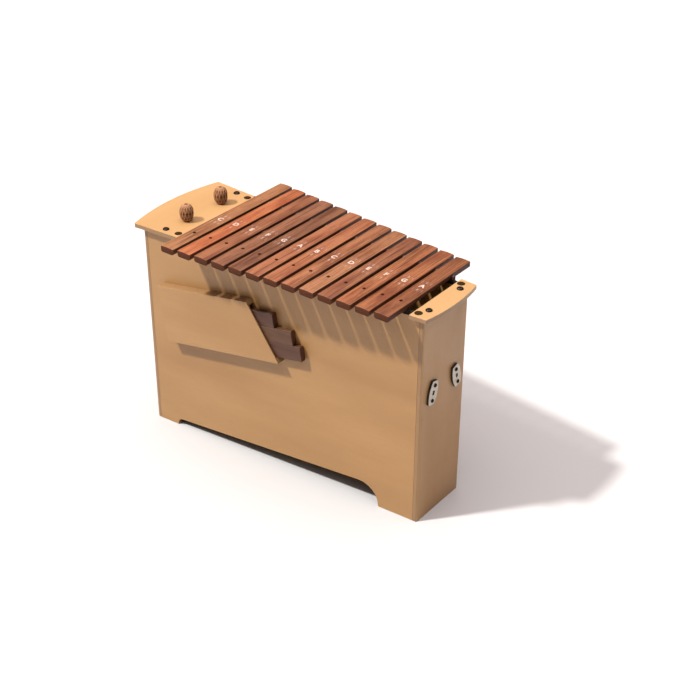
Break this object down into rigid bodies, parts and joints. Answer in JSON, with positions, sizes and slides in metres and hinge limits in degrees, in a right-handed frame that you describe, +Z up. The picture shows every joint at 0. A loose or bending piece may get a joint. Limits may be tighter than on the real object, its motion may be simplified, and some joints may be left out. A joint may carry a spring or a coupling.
{
  "type": "bass xylophone",
  "caption": "Diatonic bass bar instrument: wooden tone bars over a tapered box resonator, with a pocket of spare bars on the front and mallets standing in the bass cover plate.",
  "frame": {"origin": "on the floor, under the middle of the instrument's outline", "axes": "+X along the row of bars towards the high notes, +Y from the player's side to the back, +Z up"},
  "size_m": [0.8934, 0.4554, 0.6373],
  "materials": {
    "case_ply": "satin lacquered plywood",
    "inner_ply": "plain plywood, unlacquered",
    "cover_ply": "satin lacquered pale plywood",
    "bar_wood": "oiled reddish hardwood",
    "spare_bar_wood": "oiled dark reddish hardwood",
    "mallet_shaft_wood": "satin pale hardwood",
    "mallet_core_rubber": "matt rubber",
    "mallet_yarn": "wound wool yarn",
    "felt": "dense dark felt",
    "pin_steel": "plain steel",
    "screw_steel": "blackened steel",
    "plug_rubber": "matt black rubber",
    "coupling_spacer_plastic": "black plastic",
    "coupling_plate_plastic": "light grey moulded plastic"
  },
  "bodies": {
    "case": {"front_board": "case_ply", "back_board": "case_ply", "bass_end_board": "case_ply", "treble_end_board": "case_ply", "resonator_floor": "inner_ply", "bass_wall": "inner_ply", "chamber_wall_1": "inner_ply", "chamber_wall_2": "inner_ply", "chamber_wall_3": "inner_ply", "bass_cover_plate": "cover_ply", "treble_cover_plate": "cover_ply", "bass_cover_screw_front": "screw_steel", "bass_cover_screw_rear": "screw_steel", "treble_cover_screw_front": "screw_steel", "treble_cover_screw_rear": "screw_steel", "bass_cover_plug_front": "plug_rubber", "bass_cover_plug_rear": "plug_rubber", "treble_cover_plug_front": "plug_rubber", "treble_cover_plug_rear": "plug_rubber", "front_pin_row": "pin_steel", "rear_pin_row": "pin_steel", "front_felt": "felt", "rear_felt": "felt", "pocket_front_plate": "case_ply", "pocket_floor": "case_ply", "pocket_roof": "case_ply", "pocket_stop": "case_ply", "coupling_spacer_front": "coupling_spacer_plastic", "coupling_spacer_rear": "coupling_spacer_plastic", "coupling_plate_front": "coupling_plate_plastic", "coupling_plate_rear": "coupling_plate_plastic", "coupling_screw_front_upper": "screw_steel", "coupling_screw_front_lower": "screw_steel", "coupling_screw_rear_upper": "screw_steel", "coupling_screw_rear_lower": "screw_steel"},
    "bar_c_low": {"tone_bar_c_low": "bar_wood"},
    "bar_d_low": {"tone_bar_d_low": "bar_wood"},
    "bar_e_low": {"tone_bar_e_low": "bar_wood"},
    "bar_f_low": {"tone_bar_f_low": "bar_wood"},
    "bar_g_low": {"tone_bar_g_low": "bar_wood"},
    "bar_a_low": {"tone_bar_a_low": "bar_wood"},
    "bar_b_low": {"tone_bar_b_low": "bar_wood"},
    "bar_c_high": {"tone_bar_c_high": "bar_wood"},
    "bar_d_high": {"tone_bar_d_high": "bar_wood"},
    "bar_e_high": {"tone_bar_e_high": "bar_wood"},
    "bar_f_high": {"tone_bar_f_high": "bar_wood"},
    "bar_g_high": {"tone_bar_g_high": "bar_wood"},
    "bar_a_high": {"tone_bar_a_high": "bar_wood"},
    "spare_f_sharp_low": {"spare_bar_f_sharp_low": "spare_bar_wood"},
    "spare_b_flat": {"spare_bar_b_flat": "spare_bar_wood"},
    "spare_f_sharp_high": {"spare_bar_f_sharp_high": "spare_bar_wood"},
    "mallet_front": {"mallet_shaft_front": "mallet_shaft_wood", "mallet_core_front": "mallet_core_rubber", "mallet_winding_front": "mallet_yarn"},
    "mallet_rear": {"mallet_shaft_rear": "mallet_shaft_wood", "mallet_core_rear": "mallet_core_rubber", "mallet_winding_rear": "mallet_yarn"}
  },
  "joints": [
    {"name": "lift_bar_c_low", "type": "slide", "parent": "case", "child": "bar_c_low", "axis": [0, 0, 1], "range_m": [0, 0.03]},
    {"name": "lift_bar_d_low", "type": "slide", "parent": "case", "child": "bar_d_low", "axis": [0, 0, 1], "range_m": [0, 0.03]},
    {"name": "lift_bar_e_low", "type": "slide", "parent": "case", "child": "bar_e_low", "axis": [0, 0, 1], "range_m": [0, 0.03]},
    {"name": "lift_bar_f_low", "type": "slide", "parent": "case", "child": "bar_f_low", "axis": [0, 0, 1], "range_m": [0, 0.03]},
    {"name": "lift_bar_g_low", "type": "slide", "parent": "case", "child": "bar_g_low", "axis": [0, 0, 1], "range_m": [0, 0.03]},
    {"name": "lift_bar_a_low", "type": "slide", "parent": "case", "child": "bar_a_low", "axis": [0, 0, 1], "range_m": [0, 0.03]},
    {"name": "lift_bar_b_low", "type": "slide", "parent": "case", "child": "bar_b_low", "axis": [0, 0, 1], "range_m": [0, 0.03]},
    {"name": "lift_bar_c_high", "type": "slide", "parent": "case", "child": "bar_c_high", "axis": [0, 0, 1], "range_m": [0, 0.03]},
    {"name": "lift_bar_d_high", "type": "slide", "parent": "case", "child": "bar_d_high", "axis": [0, 0, 1], "range_m": [0, 0.03]},
    {"name": "lift_bar_e_high", "type": "slide", "parent": "case", "child": "bar_e_high", "axis": [0, 0, 1], "range_m": [0, 0.03]},
    {"name": "lift_bar_f_high", "type": "slide", "parent": "case", "child": "bar_f_high", "axis": [0, 0, 1], "range_m": [0, 0.03]},
    {"name": "lift_bar_g_high", "type": "slide", "parent": "case", "child": "bar_g_high", "axis": [0, 0, 1], "range_m": [0, 0.03]},
    {"name": "lift_bar_a_high", "type": "slide", "parent": "case", "child": "bar_a_high", "axis": [0, 0, 1], "range_m": [0, 0.03]},
    {"name": "draw_spare_f_sharp_low", "type": "slide", "parent": "case", "child": "spare_f_sharp_low", "axis": [0.9863, 0.0624, 0.153], "range_m": [0, 0.35]},
    {"name": "draw_spare_b_flat", "type": "slide", "parent": "case", "child": "spare_b_flat", "axis": [0.9863, 0.0624, 0.153], "range_m": [0, 0.33]},
    {"name": "draw_spare_f_sharp_high", "type": "slide", "parent": "case", "child": "spare_f_sharp_high", "axis": [0.9863, 0.0624, 0.153], "range_m": [0, 0.31]},
    {"name": "lift_mallet_front", "type": "slide", "parent": "case", "child": "mallet_front", "axis": [0, 0, 1], "range_m": [0, 0.31]},
    {"name": "lift_mallet_rear", "type": "slide", "parent": "case", "child": "mallet_rear", "axis": [0, 0, 1], "range_m": [0, 0.31]}
  ]
}
